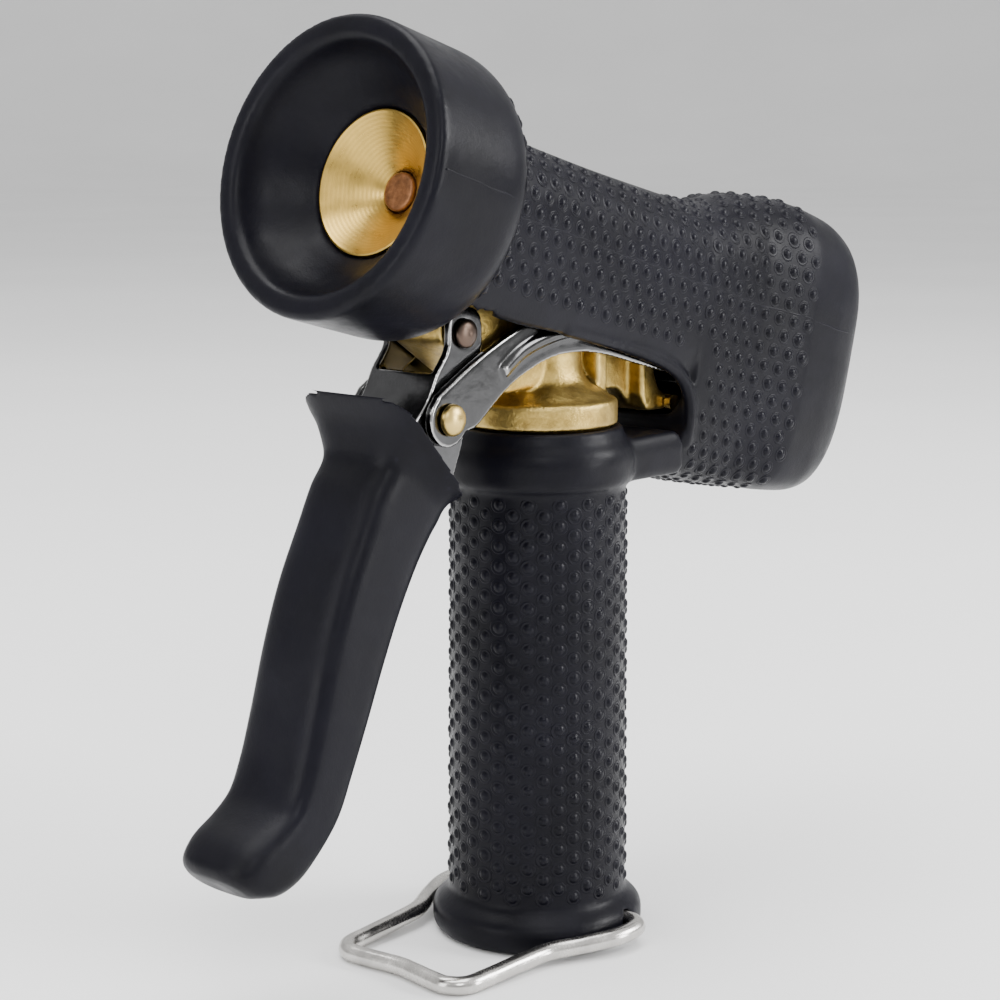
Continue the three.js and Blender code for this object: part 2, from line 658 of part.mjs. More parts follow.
const LOOK = {
  rubber: { color: 0x17171c, roughness: 0.62, metalness: 0 },
  brass: { color: 0xb08d3c, roughness: 0.34, metalness: 1 },
  steel: { color: 0xc4c4c8, roughness: 0.2, metalness: 1 },
  copper: { color: 0x8a4a2c, roughness: 0.4, metalness: 1 },
  seal: { color: 0x2a2a2a, roughness: 0.7, metalness: 0 },
};

const assembly = new THREE.Group();
assembly.name = 'hose_spray_nozzle';

function place(name, look, body) {
  const { vertProperties, triVerts } = body.getMesh();
  const geometry = new THREE.BufferGeometry();
  geometry.setAttribute('position', new THREE.BufferAttribute(vertProperties, 3));
  geometry.setIndex(new THREE.BufferAttribute(triVerts, 1));
  geometry.translate(GRIP_X, 0, 0);
  const facets = geometry.toNonIndexed();
  facets.computeVertexNormals();
  const mesh = new THREE.Mesh(facets, new THREE.MeshStandardMaterial(LOOK[look]));
  mesh.name = name;
  assembly.add(mesh);
}

place('body_cover', 'rubber', bodyCover());
place('grip_sleeve', 'rubber', gripSleeve());
place('trigger_cover', 'rubber', triggerCover());
place('trigger_channel', 'steel', triggerChannel());
place('link_yoke', 'steel', linkYoke());
place('pivot_pin', 'steel', pivotPin());
place('link_pin', 'brass', linkPin());
place('valve_body', 'brass', valveBody());
place('nozzle_insert', 'brass', nozzleInsert());
place('seat_washer', 'seal', barrelRing(5, 7.9, 38.6, 39.9));
place('spindle_tip', 'copper', spindleTip());
place('valve_plug', 'brass', valvePlug());
place('valve_stem', 'steel', valveStem());
place('return_spring', 'steel', returnSpring());
place('spring_washer', 'steel', barrelRing(STEM_RADIUS + GAP, 8, -37, -36));
place('gland_packing', 'seal', barrelRing(STEM_RADIUS + GAP, 8.1, -43.4, -37.3));
place('gland_nut', 'brass', glandNut());
place('stem_nut', 'steel', stemNut(-65.4, -60.6));
place('lock_nut', 'steel', stemNut(-69.4, -65.7));
place('cover_screw', 'brass', coverScrew());
place('inlet_tube', 'brass', inletTube());
place('inlet_bush', 'brass', inletBush());
place('hose_washer', 'seal', turned([
  [6.2, 12.2], [9, 12.2], [9, 14.1], [6.2, 14.1], [6.2, 12.2],
], 32));
place('bail', 'steel', bail());

export default assembly;
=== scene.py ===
import math

import bmesh
import bpy
import numpy as np
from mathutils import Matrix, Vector
from mathutils.bvhtree import BVHTree


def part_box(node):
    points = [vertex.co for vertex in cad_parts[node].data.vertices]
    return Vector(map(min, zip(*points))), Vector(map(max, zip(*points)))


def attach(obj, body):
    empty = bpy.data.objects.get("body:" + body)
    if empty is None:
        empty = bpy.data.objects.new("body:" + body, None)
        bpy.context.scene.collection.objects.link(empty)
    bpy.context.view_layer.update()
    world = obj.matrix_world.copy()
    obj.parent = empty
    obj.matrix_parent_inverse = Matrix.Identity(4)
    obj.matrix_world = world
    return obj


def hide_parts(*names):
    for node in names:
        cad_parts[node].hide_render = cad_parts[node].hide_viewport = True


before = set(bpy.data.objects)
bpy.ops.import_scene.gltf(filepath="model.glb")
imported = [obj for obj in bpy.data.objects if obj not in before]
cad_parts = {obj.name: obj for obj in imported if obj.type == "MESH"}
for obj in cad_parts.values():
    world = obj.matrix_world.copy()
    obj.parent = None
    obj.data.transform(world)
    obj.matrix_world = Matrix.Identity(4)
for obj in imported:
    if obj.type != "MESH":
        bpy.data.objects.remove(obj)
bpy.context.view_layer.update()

random = np.random.default_rng(7)

# Lengths are in millimetres, with X = 0 on the grip's axis, and place() moves them to the frame.
# The stage, the lamps and LIT_POINT are in metres, in the frame itself.
MM = 0.001
tube_low, tube_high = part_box("inlet_tube")
GRIP_X = (tube_low.x + tube_high.x) / 2 / MM
AXIS_Z = 155.3
TILT = math.radians(15.3)
PIVOT = (-34.3, 138.3)
LINK = (-41.0, 121.2)
EAR_OUT = 9.5
SHEET = 1.8
YOKE_IN, YOKE_OUT = 9.8, 11.8
YOKE_BRIDGE = -58.0
YOKE_LOW, YOKE_HIGH = -21.2, -11.8
SKIN = 1.9
BARREL_BORE, NOSE_BORE = 14.5, 15.5
COLLAR_RADIUS, COLLAR_FLAT = 21.4, 17.6
BAIL_HINGE = (5.0, 4.5)
WIRE_RADIUS = 2.0
FLOOR_DROP = 0.03
NUB_FACETS = 12
SEAM_RADIUS, SEAM_SINK = 0.42, 0.25
LIT_POINT = (0, 0, 0.11)
CAMERA_AT, CAMERA_WAY, LENS = (-374.4, -325.4, 182.6), (0.7329, 0.6593, -0.1679), 81.47


# ---------- shapes ----------

def on_barrel(points):
    """Level barrel points (forward, across, up) to the grip frame."""
    p = np.asarray(points, float)
    f, y, u = p[..., 0], p[..., 1], p[..., 2]
    x = -f * math.cos(TILT) + u * math.sin(TILT)
    z = AXIS_Z + f * math.sin(TILT) + u * math.cos(TILT)
    return np.stack([x, y, z], -1)


def place(name, points, faces):
    """A mesh object from points in millimetres in the grip frame."""
    at = np.asarray(points, float).reshape(-1, 3) * MM
    at[:, 0] += GRIP_X * MM
    mesh = bpy.data.meshes.new(name)
    mesh.from_pydata(at.tolist(), [], faces)
    mesh.update()
    obj = bpy.data.objects.new(name, mesh)
    bpy.context.scene.collection.objects.link(obj)
    return obj


def outward(obj):
    work = bmesh.new()
    work.from_mesh(obj.data)
    bmesh.ops.remove_doubles(work, verts=work.verts, dist=1e-7)
    bmesh.ops.recalc_face_normals(work, faces=work.faces)
    work.to_mesh(obj.data)
    work.free()
    return obj


def skin(name, rings, loop=False):
    """A closed body through rings with equal counts. loop joins the last ring to the first."""
    rings = np.asarray(rings, float)
    rows, count = rings.shape[:2]
    faces = []
    for i in range(rows if loop else rows - 1):
        a, b = i * count, (i + 1) % rows * count
        faces += [(a + j, a + (j + 1) % count, b + (j + 1) % count, b + j) for j in range(count)]
    if not loop:
        faces.append(tuple(range(count)))
        faces.append(tuple((rows - 1) * count + j for j in range(count)))
    return outward(place(name, rings.reshape(-1, 3), faces))


def corners(points, steps=8):
    """An outline with its corners cut by curves. Each point is (x, y) or (x, y, reach)."""
    made = []
    count = len(points)
    for i, point in enumerate(points):
        here = np.array(point[:2], float)
        reach = point[2] if len(point) > 2 else 0
        before = np.array(points[i - 1][:2], float) - here
        after = np.array(points[(i + 1) % count][:2], float) - here
        room = 0.49 * min(np.linalg.norm(before), np.linalg.norm(after))
        cut = min(reach, room)
        if cut <= 0:
            made.append(here)
            continue
        start = here + before / np.linalg.norm(before) * cut
        end = here + after / np.linalg.norm(after) * cut
        for s in np.linspace(0, 1, steps):
            made.append((1 - s) ** 2 * start + 2 * s * (1 - s) * here + s * s * end)
    return np.array(made)


def turned(name, profile, facets=96, barrel=False, across=None):
    """A body turned from (radius, along) points, round the grip, the barrel or a cross pin."""
    profile = np.asarray(profile, float)
    angle = np.arange(facets) * 2 * math.pi / facets
    closed = np.allclose(profile[0], profile[-1]) or profile[0][0] > 1e-6
    if np.allclose(profile[0], profile[-1]):
        profile = profile[:-1]
    r = np.maximum(profile[:, :1], 0 if closed else 1e-4)
    a, b = r * np.cos(angle), r * np.sin(angle)
    along = np.broadcast_to(profile[:, 1:2], a.shape)
    if barrel:
        rings = on_barrel(np.stack([along, a, b], -1))
    elif across is not None:
        rings = np.stack([a + across[0], along, b + across[1]], -1)
    else:
        rings = np.stack([a, b, along], -1)
    return skin(name, rings, loop=closed)


def cross_hole(radius, centre, facets, half=12):
    """A cutter for a hole across the object."""
    return turned("hole", [(0, -half), (radius, -half), (radius, half), (0, half)], facets,
                  across=centre)


def plate(name, shape, low, high, bevel=0.0):
    """A plate cut to an x-z outline between two y values, with its rims rounded."""
    shape = np.asarray(shape, float)
    count = len(shape)
    rings = [np.stack([shape[:, 0], np.full(count, y), shape[:, 1]], -1) for y in (low, high)]
    made = skin(name, rings)
    if bevel:
        work = bmesh.new()
        work.from_mesh(made.data)
        rims = [e for e in work.edges if any(len(f.verts) > 4 for f in e.link_faces)]
        bmesh.ops.bevel(work, geom=rims, offset=bevel * MM, segments=3, profile=0.5,
                        affect="EDGES", clamp_overlap=True)
        work.to_mesh(made.data)
        work.free()
    return made


def slab(name, low, high):
    (x0, y0, z0), (x1, y1, z1) = low, high
    return plate(name, [(x0, z0), (x1, z0), (x1, z1), (x0, z1)], y0, y1)


def eased(xs, ys, x):
    """Values between given ones on a monotone cubic, which never overshoots them."""
    xs, ys = np.asarray(xs, float), np.asarray(ys, float)
    h = np.diff(xs)
    d = np.diff(ys) / h
    m = np.empty_like(ys)
    m[0], m[-1] = d[0], d[-1]
    same = d[:-1] * d[1:] > 0
    m[1:-1] = np.where(same, 2 * d[:-1] * d[1:] / np.where(same, d[:-1] + d[1:], 1), 0)
    i = np.clip(np.searchsorted(xs, x, side="right") - 1, 0, len(h) - 1)
    s = (x - xs[i]) / h[i]
    return ((1 + 2 * s) * (1 - s) ** 2 * ys[i] + s * (1 - s) ** 2 * h[i] * m[i]
            + s * s * (3 - 2 * s) * ys[i + 1] + s * s * (s - 1) * h[i] * m[i + 1])


def quarter(half, height, power, count):
    """A quarter of a squared-off ellipse, from its side to its top, in even steps."""
    theta = np.linspace(0, math.pi / 2, 500)
    a = half * np.cos(theta).clip(0) ** (2 / power)
    b = height * np.sin(theta).clip(0) ** (2 / power)
    run = np.concatenate([[0], np.cumsum(np.hypot(np.diff(a), np.diff(b)))])
    want = np.linspace(0, run[-1], count, endpoint=False)
    return np.interp(want, run, a), np.interp(want, run, b)


def ring(half, top, bottom, power, foot, count):
    """Points (across, up) round a section, evenly spaced in each quarter."""
    n = count // 4
    full = lambda u, v, end: (np.append(u[:n], end[0]), np.append(v[:n], end[1]))
    a, b = full(*quarter(half, top, power, n), (0, top))
    c, d = full(*quarter(half, bottom, foot, n), (0, bottom))
    y = np.concatenate([a[:-1], -a[:0:-1], -c[:-1], c[:0:-1]])
    z = np.concatenate([b[:-1], b[:0:-1], -d[:-1], -d[:0:-1]])
    return np.stack([y, z], -1)


class Loft:
    """Sections down a path, with every number eased between the given ones."""

    def __init__(self, rows, step):
        rows = np.asarray(rows, float)
        if rows[0][0] > rows[-1][0]:
            rows = rows[::-1]
        self.at = rows[:, 0]
        self.rows = rows
        marks = [np.linspace(a, b, max(2, int(math.ceil((b - a) / step)) + 1))[:-1]
                 for a, b in zip(self.at[:-1], self.at[1:])]
        self.marks = np.append(np.concatenate(marks), self.at[-1])

    def row(self, at):
        return np.array([eased(self.at, self.rows[:, k], np.asarray(at, float))
                         for k in range(1, self.rows.shape[1])])


def barrel_loft(name, rows, step=1.6, count=160):
    loft = Loft(rows, step)
    rings = []
    for at in loft.marks:
        half, top, bottom, power, foot = loft.row(at)
        section = ring(half, top, bottom, power, foot, count)
        rings.append(on_barrel(np.concatenate([np.full((count, 1), at), section], 1)))
    return skin(name, rings)


def edge_loft(name, rows, step=1.2, count=120):
    """A body through sections that each run from a front point to a rear point."""
    rows = np.asarray(rows, float)
    middle = (rows[:, 0:2] + rows[:, 2:4]) / 2
    run = np.concatenate([[0], np.cumsum(np.linalg.norm(np.diff(middle, axis=0), axis=1))])
    loft = Loft(np.column_stack([run, rows]), step)
    rings = []
    for at in loft.marks:
        fx, fz, rx, rz, half, power = loft.row(at)
        arm = np.array([(fx - rx) / 2, (fz - rz) / 2])
        reach = math.hypot(*arm)
        section = ring(half, reach, reach, power, power, count)
        share = section[:, 1:2] / reach
        x = (fx + rx) / 2 + arm[0] * share[:, 0]
        z = (fz + rz) / 2 + arm[1] * share[:, 0]
        rings.append(np.stack([x, section[:, 0], z], -1))
    return skin(name, rings)


def spline(points, count):
    """A centripetal Catmull-Rom line through points, in even steps."""
    p = np.asarray(points, float)
    p = np.concatenate([[2 * p[0] - p[1]], p, [2 * p[-1] - p[-2]]])
    line = []
    for i in range(1, len(p) - 2):
        p0, p1, p2, p3 = p[i - 1:i + 3]
        t = np.cumsum([0] + [math.sqrt(np.linalg.norm(b - a)) for a, b in
                             ((p0, p1), (p1, p2), (p2, p3))])
        for s in np.linspace(t[1], t[2], 24, endpoint=False):
            a1 = (t[1] - s) / (t[1] - t[0]) * p0 + (s - t[0]) / (t[1] - t[0]) * p1
            a2 = (t[2] - s) / (t[2] - t[1]) * p1 + (s - t[1]) / (t[2] - t[1]) * p2
            a3 = (t[3] - s) / (t[3] - t[2]) * p2 + (s - t[2]) / (t[3] - t[2]) * p3
            b1 = (t[2] - s) / (t[2] - t[0]) * a1 + (s - t[0]) / (t[2] - t[0]) * a2
            b2 = (t[3] - s) / (t[3] - t[1]) * a2 + (s - t[1]) / (t[3] - t[1]) * a3
            line.append((t[2] - s) / (t[2] - t[1]) * b1 + (s - t[1]) / (t[2] - t[1]) * b2)
    line.append(p[-2])
    line = np.array(line)
    run = np.concatenate([[0], np.cumsum(np.linalg.norm(np.diff(line, axis=0), axis=1))])
    want = np.linspace(0, run[-1], count)
    return np.stack([np.interp(want, run, line[:, k]) for k in range(3)], -1)


def tube(name, line, radius, facets=16, flat=1.0, up=None):
    """A round or flattened wire along a line of points. up keeps its thin side square to it."""
    line = np.asarray(line, float)
    run = np.gradient(line, axis=0)
    run /= np.linalg.norm(run, axis=1)[:, None]
    side = np.cross(run[0], (0, 0, 1))
    if np.linalg.norm(side) < 1e-3:
        side = np.cross(run[0], (1, 0, 0))
    rings = []
    for i, (point, along) in enumerate(zip(line, run)):
        if up is not None:
            side = np.cross(along, up[i])
        side = side - along * (side @ along)
        side /= np.linalg.norm(side)
        lift = np.cross(side, along)
        angle = np.arange(facets) * 2 * math.pi / facets
        rings.append(point + radius * np.outer(np.cos(angle), side)
                     + radius * flat * np.outer(np.sin(angle), lift))
    return skin(name, rings)


# ---------- joining, cutting and softening ----------

def combine(base, *changes):
    """Unites ("+", other) with, and subtracts ("-", other) or keeps ("&", other) from, base."""
    kinds = {"+": "UNION", "-": "DIFFERENCE", "&": "INTERSECT"}
    for sign, other in changes:
        change = base.modifiers.new("join", "BOOLEAN")
        change.operation = kinds[sign]
        change.object = other
        change.solver = "MANIFOLD"
    settle(base)
    for _, other in changes:
        drop(other)
    return base


def settle(obj):
    """Applies the modifiers."""
    graph = bpy.context.evaluated_depsgraph_get()
    graph.update()
    made = bpy.data.meshes.new_from_object(obj.evaluated_get(graph))
    old = obj.data
    obj.modifiers.clear()
    obj.data = made
    made.name = obj.name
    bpy.data.meshes.remove(old)
    return obj


def drop(obj):
    mesh = obj.data
    bpy.data.objects.remove(obj)
    bpy.data.meshes.remove(mesh)


def soften(obj, cell, rounds):
    """Meshes the body again in even cells and relaxes it, so that every edge is rounded."""
    again = obj.modifiers.new("again", "REMESH")
    again.mode = "VOXEL"
    again.voxel_size = cell * MM
    relax = obj.modifiers.new("relax", "SMOOTH")
    relax.factor = 0.5
    relax.iterations = rounds
    settle(obj)
    obj.data.shade_smooth()
    return obj


def crisp(obj, angle):
    """Smooth faces, with edges sharper than the angle in degrees kept."""
    obj.data.shade_smooth()
    obj.data.set_sharp_from_angle(angle=math.radians(angle))
    return obj


# ---------- materials ----------

class Look:
    """A node material."""

    def __init__(self, name):
        self.material = bpy.data.materials.new(name)
        self.material.use_nodes = True
        self.tree = self.material.node_tree
        self.shader = self.tree.nodes["Principled BSDF"]
        self.coords = self.add("ShaderNodeTexCoord").outputs["Object"]

    def feed(self, socket, value):
        """Links an output to the socket, or sets it. A tuple is a colour."""
        if isinstance(value, bpy.types.NodeSocket):
            self.tree.links.new(value, socket)
        else:
            socket.default_value = (*value, 1) if isinstance(value, tuple) else value

    def add(self, kind, settings=None, **inputs):
        node = self.tree.nodes.new(kind)
        for key, value in (settings or {}).items():
            setattr(node, key, value)
        for key, value in inputs.items():
            self.feed(node.inputs[key.replace("_", " ")], value)
        return node

    def stretched(self, scale, turn=(0, 0, 0)):
        node = self.add("ShaderNodeMapping", Vector=self.coords)
        node.inputs["Scale"].default_value = scale
        node.inputs["Rotation"].default_value = turn
        return node.outputs["Vector"]

    def noise(self, scale, detail, rough=0.5, coords=None):
        node = self.add("ShaderNodeTexNoise", Vector=coords or self.coords, Scale=scale,
                        Detail=detail, Roughness=rough)
        return node.outputs["Fac"]

    def level(self, value, low, high, to_low, to_high):
        node = self.add("ShaderNodeMapRange", Value=value, From_Min=low, From_Max=high,
                        To_Min=to_low, To_Max=to_high)
        return node.outputs["Result"]

    def colours(self, value, stops):
        node = self.add("ShaderNodeValToRGB", Fac=value)
        ramp = node.color_ramp
        while len(ramp.elements) < len(stops):
            ramp.elements.new(0.5)
        for element, (at, colour) in zip(ramp.elements, stops):
            element.position = at
            element.color = (*colour, 1)
        return node.outputs["Color"]

    def mixed(self, share, first, second):
        node = self.add("ShaderNodeMix", {"data_type": "RGBA"})
        for key, value in (("Factor_Float", share), ("A_Color", first), ("B_Color", second)):
            self.feed(next(s for s in node.inputs if s.identifier == key), value)
        return next(s for s in node.outputs if s.identifier == "Result_Color")

    def maths(self, operation, a, b):
        node = self.add("ShaderNodeMath", {"operation": operation})
        for socket, value in zip(node.inputs, (a, b)):
            self.feed(socket, value)
        return node.outputs[0]

    def bump(self, height, distance, strength, under=None):
        node = self.add("ShaderNodeBump", Height=height, Distance=distance, Strength=strength)
        if under is not None:
            self.tree.links.new(under, node.inputs["Normal"])
        return node.outputs["Normal"]

    def edges(self, low, high):
        """1 on outer edges and bumps, 0 elsewhere."""
        point = self.add("ShaderNodeNewGeometry").outputs["Pointiness"]
        return self.level(point, low, high, 0, 1)

    def set(self, **inputs):
        for key, value in inputs.items():
            self.feed(self.shader.inputs[key.replace("_", " ")], value)
        return self.material


def shaded(colour, share):
    """A colour made darker or brighter by a share."""
    return tuple(share * c for c in colour)


def rubber(name, tint=(0.0032, 0.0031, 0.0056), rough=0.36, worn=True):
    """Moulded black rubber, cloudy and a little dusty, lighter where edges are worn."""
    look = Look(name)
    broad = look.noise(38, 5, 0.55)
    cloud = look.noise(150, 4, 0.6)
    grain = look.noise(2600, 3, 0.6)
    base = look.colours(broad, [(0.32, shaded(tint, 0.7)),
                                (0.68, shaded(tint, 1.45))])
    if worn:
        wear = look.maths("MULTIPLY", look.edges(0.52, 0.62), look.level(cloud, 0.4, 0.6, 0.15, 1))
        base = look.mixed(look.maths("MULTIPLY", wear, 0.5), base, shaded(tint, 3.6))
    dust = look.level(look.noise(420, 6, 0.75), 0.6, 0.78, 0, 0.3)
    base = look.mixed(dust, base, shaded(tint, 3.4))
    ruffle = look.bump(cloud, 0.0003, 0.4)
    return look.set(
        Base_Color=base,
        Roughness=look.level(look.noise(90, 6, 0.65), 0.3, 0.7, rough - 0.08, rough + 0.13),
        Normal=look.bump(grain, 0.00006, 0.5, under=ruffle),
        Specular_IOR_Level=0.12)


def steel(name, rough=0.16, colour=(0.73, 0.72, 0.70), painted_edge_highlight=None):
    """Brushed and plated metal. The optional edge colour is painted highlight: a brighter colour laid on
    the outer edges.
    """
    look = Look(name)
    streak = look.noise(1.0, 4, 0.6, look.stretched((2600, 2600, 160), (0, 0.35, 0)))
    stain = look.noise(180, 5, 0.6)
    base = look.colours(stain, [(0.3, shaded(colour, 0.72)), (0.62, colour)])
    # Painted highlight: the brighter edge colour is mixed in where the surface is pointy.
    if painted_edge_highlight is not None:
        base = look.mixed(look.edges(0.515, 0.575), base, painted_edge_highlight)
    gloss = look.maths("ADD", look.level(streak, 0.3, 0.7, -0.04, 0.05),
                       look.level(stain, 0.35, 0.75, rough, rough + 0.12))
    return look.set(Base_Color=base, Metallic=1.0, Roughness=gloss,
                    Normal=look.bump(streak, 0.00001, 0.3,
                                     under=look.bump(look.noise(320, 2), 0.00018, 0.3)))


def cast_brass(name):
    look = Look(name)
    patch = look.noise(210, 6, 0.62)
    grit = look.noise(1500, 4, 0.65)
    base = look.colours(patch, [(0.3, (0.25, 0.165, 0.045)), (0.52, (0.46, 0.32, 0.09)),
                                (0.72, (0.60, 0.44, 0.14))])
    worn = look.maths("MULTIPLY", look.edges(0.5, 0.6), 0.55)
    base = look.mixed(worn, base, (0.80, 0.62, 0.24))
    gritty = look.bump(grit, 0.0002, 0.55)
    return look.set(Base_Color=base, Metallic=1.0,
                    Roughness=look.level(grit, 0.3, 0.7, 0.28, 0.46),
                    Normal=look.bump(patch, 0.0006, 0.35, under=gritty))


def turned_brass(name, colour=(0.62, 0.41, 0.10), rough=0.24, centre=None, rings=5200):
    """Fine rings left by the lathe, round the barrel's axis."""
    look = Look(name)
    shift = look.add("ShaderNodeVectorMath", {"operation": "SUBTRACT"})
    look.tree.links.new(look.coords, shift.inputs[0])
    shift.inputs[1].default_value = (GRIP_X * MM, 0, AXIS_Z * MM) if centre is None else centre
    level = look.add("ShaderNodeVectorRotate", {"rotation_type": "Y_AXIS"},
                     Vector=shift.outputs[0], Angle=-TILT if centre is None else math.pi / 2)
    wave = look.add("ShaderNodeTexWave", {"wave_type": "RINGS", "rings_direction": "X"},
                    Vector=level.outputs[0], Scale=rings / (2 * math.pi) * 0.55, Distortion=0.3,
                    Detail=1, Detail_Scale=1.5)
    patch = look.noise(260, 5, 0.6)
    base = look.colours(patch, [(0.3, shaded(colour, 0.78)), (0.62, colour)])
    base = look.mixed(look.level(wave.outputs["Fac"], 0, 1, 0, 0.22), base, shaded(colour, 0.6))
    gloss = look.maths("ADD", look.level(patch, 0.3, 0.7, rough, rough + 0.14),
                       look.level(wave.outputs["Fac"], 0, 1, 0, 0.08))
    return look.set(Base_Color=base, Metallic=1.0, Roughness=gloss,
                    Normal=look.bump(wave.outputs["Fac"], 0.000012, 0.4))


def copper(name):
    look = Look(name)
    patch = look.noise(700, 6, 0.65)
    base = look.colours(patch, [(0.3, (0.12, 0.052, 0.022)), (0.55, (0.24, 0.105, 0.045)),
                                (0.75, (0.34, 0.16, 0.075))])
    return look.set(Base_Color=base, Metallic=0.85,
                    Roughness=look.level(patch, 0.3, 0.7, 0.32, 0.55),
                    Normal=look.bump(patch, 0.0001, 0.5))


RUBBER = rubber("rubber_skin")
# The nubs' rubber is the skin rubber made lighter: painted highlight on the nubs.
NUB_RUBBER = rubber("rubber_nubs", tint=(0.0040, 0.0039, 0.0068), rough=0.3, worn=False)
SEAL = rubber("seal_rubber", tint=(0.012, 0.012, 0.012), rough=0.6, worn=False)
STEEL = steel("plated_steel")
# Sheet and polished steel: the near-black face colour is painted dark reflection, and the near-white
# edge colour is painted highlight.
SHEET_STEEL = steel("sheet_steel", rough=0.12, colour=(0.085, 0.085, 0.087), painted_edge_highlight=(0.86, 0.85, 0.84))
WIRE = steel("wire_steel", rough=0.2, colour=(0.66, 0.64, 0.61))
POLISHED = steel("polished_steel", rough=0.1, colour=(0.07, 0.07, 0.071), painted_edge_highlight=(0.88, 0.87, 0.86))
DARK_PIN = steel("pin_steel", rough=0.3, colour=(0.10, 0.07, 0.055))
CAST = cast_brass("cast_brass")
INSERT = turned_brass("turned_brass")
PIN_BRASS = turned_brass("pin_brass", colour=(0.72, 0.52, 0.17), rough=0.24,
                         centre=((GRIP_X + LINK[0]) * MM, 0, LINK[1] * MM), rings=2200)
COPPER = copper("copper_tip")


def dress(obj, material, body, slot, *nodes):
    obj.data.materials.clear()
    obj.data.materials.append(material)
    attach(obj, body)
    if nodes:
        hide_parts(*nodes)
    return obj


# ---------- nubs and parting lines ----------

NUB = [(0.0, 0.62), (0.4, 0.585), (0.74, 0.46), (0.98, 0.27), (1.13, 0.1), (1.28, 0.02),
       (1.44, 0.045), (1.6, 0.075), (1.78, 0.04), (1.94, -0.06), (1.8, -0.8)]


def surface(obj):
    """The body's surface, for rays in millimetres in the grip frame."""
    mesh = obj.data
    mesh.calc_loop_triangles()
    at = np.empty(len(mesh.vertices) * 3)
    mesh.vertices.foreach_get("co", at)
    at = at.reshape(-1, 3) / MM
    at[:, 0] -= GRIP_X
    tris = np.empty(len(mesh.loop_triangles) * 3, int)
    mesh.loop_triangles.foreach_get("vertices", tris)
    return BVHTree.FromPolygons(at.tolist(), tris.reshape(-1, 3).tolist())


def hit(tree, start, way, reach):
    """Where a ray meets the surface, and the normal there, or None twice."""
    at, normal, _, _ = tree.ray_cast(Vector(start), Vector(way), reach)
    return (None, None) if at is None else (np.array(at), np.array(normal))


def nubs(name, seats, scale=1.0):
    """Domes on (point, normal) seats, each with a faint raised ring round its foot."""
    facets = NUB_FACETS
    points = np.array([p for p, _ in seats])
    ups = np.array([n / np.linalg.norm(n) for _, n in seats])
    help_axis = np.where(np.abs(ups[:, 2:3]) < 0.9, [[0, 0, 1.0]], [[1.0, 0, 0]])
    u = np.cross(ups, help_axis)
    u /= np.linalg.norm(u, axis=1)[:, None]
    v = np.cross(ups, u)
    angle = np.arange(facets) * 2 * math.pi / facets
    size = scale * (1 + 0.05 * random.standard_normal(len(seats)))[:, None]
    rows = [points + ups * NUB[0][1] * size]
    for radius, height in NUB[1:]:
        for a in angle:
            rows.append(points + (u * math.cos(a) + v * math.sin(a)) * radius * size
                        + ups * height * size)
    count = len(rows)
    at = np.stack(rows, 1).reshape(-1, 3)
    one = [(0, 1 + j, 1 + (j + 1) % facets) for j in range(facets)]
    for i in range(len(NUB) - 2):
        a, b = 1 + i * facets, 1 + (i + 1) * facets
        one += [(a + j, b + j, b + (j + 1) % facets, a + (j + 1) % facets)
                for j in range(facets)]
    faces = [tuple(k + c for c in f) for k in range(0, count * len(seats), count) for f in one]
    obj = place(name, at, faces)
    obj.data.shade_smooth()
    return obj


def parting_line(name, seats):
    """A thin raised line along surface points."""
    points = np.array([p - SEAM_SINK * n for p, n in seats])
    normals = np.array([n for _, n in seats])
    for _ in range(2):
        points[1:-1] = (points[:-2] + 2 * points[1:-1] + points[2:]) / 4
    obj = tube(name, points, SEAM_RADIUS, 8, flat=0.75, up=normals)
    obj.data.shade_smooth()
    return obj


# ---------- body cover ----------

COVER = [
    (40, 16.6, 18.6, 24, 2.5, 6), (16, 16.4, 18, 24, 2.5, 6), (0, 16.2, 18.1, 24, 2.5, 6),
    (-24, 16, 18.8, 24, 2.5, 6), (-43, 16, 19.8, 24, 2.5, 6), (-43.4, 16.2, 19.9, 43.8, 2.5, 5),
    (-50, 16.4, 21.4, 43.8, 2.5, 5), (-55, 16.4, 23.6, 43.6, 2.5, 5),
    (-60, 16.5, 25.4, 43.6, 2.6, 5), (-63.8, 16.55, 26.5, 43.3, 2.6, 5),
    (-64.6, 16.7, 26.6, 43.3, 2.6, 5), (-72, 18.4, 27.7, 42.6, 2.8, 5),
    (-79.2, 20.05, 28.2, 42, 3, 5), (-80.2, 20.2, 28.2, 42, 3, 5),
    (-90, 20.3, 27.8, 41.2, 3, 5), (-96, 19.9, 26.2, 40, 3, 4.4), (-100, 18.9, 23.4, 37.4, 2.9, 4),
    (-102.4, 17.2, 20.4, 34.6, 2.8, 3.6), (-103.4, 14.4, 16.6, 31, 2.6, 3.2),
]
BAY = [
    (40.7, 14.5, 14.5, 14.5, 2, 2), (36.6, 14.5, 14.5, 14.5, 2, 2), (36.2, 14.5, 14.5, 30, 2, 8),
    (25.6, 14.5, 14.5, 30, 2, 8), (25, 12.9, 12.9, 30, 2.1, 8), (-42, 12.9, 13.4, 30, 2.1, 8),
    (-51, 13, 17.4, 30, 2.4, 6), (-56, 13, 20, 38.6, 2.4, 6), (-66, 13.4, 23, 38.4, 2.4, 6),
    (-80, 16.6, 24.4, 37.6, 2.6, 5), (-92, 16.6, 24, 36.8, 2.6, 5),
    (-99.6, 14.4, 18, 32, 2.6, 4),
]


def lip(name, side):
    """The rounded rim of the lever bay, from under the sleeve to the collar."""
    line = spline([(x, side * y, z) for x, y, z in
                   ((-8, 14.3, 137.6), (4, 14.3, 134.6), (16, 14.4, 131.4), (26, 14.7, 127.8),
                    (32, 15, 124), (34.8, 15.2, 119), (35.2, 15, 113.6), (35, 14, 108))], 60)
    return tube(name, line, 1.55, 16)


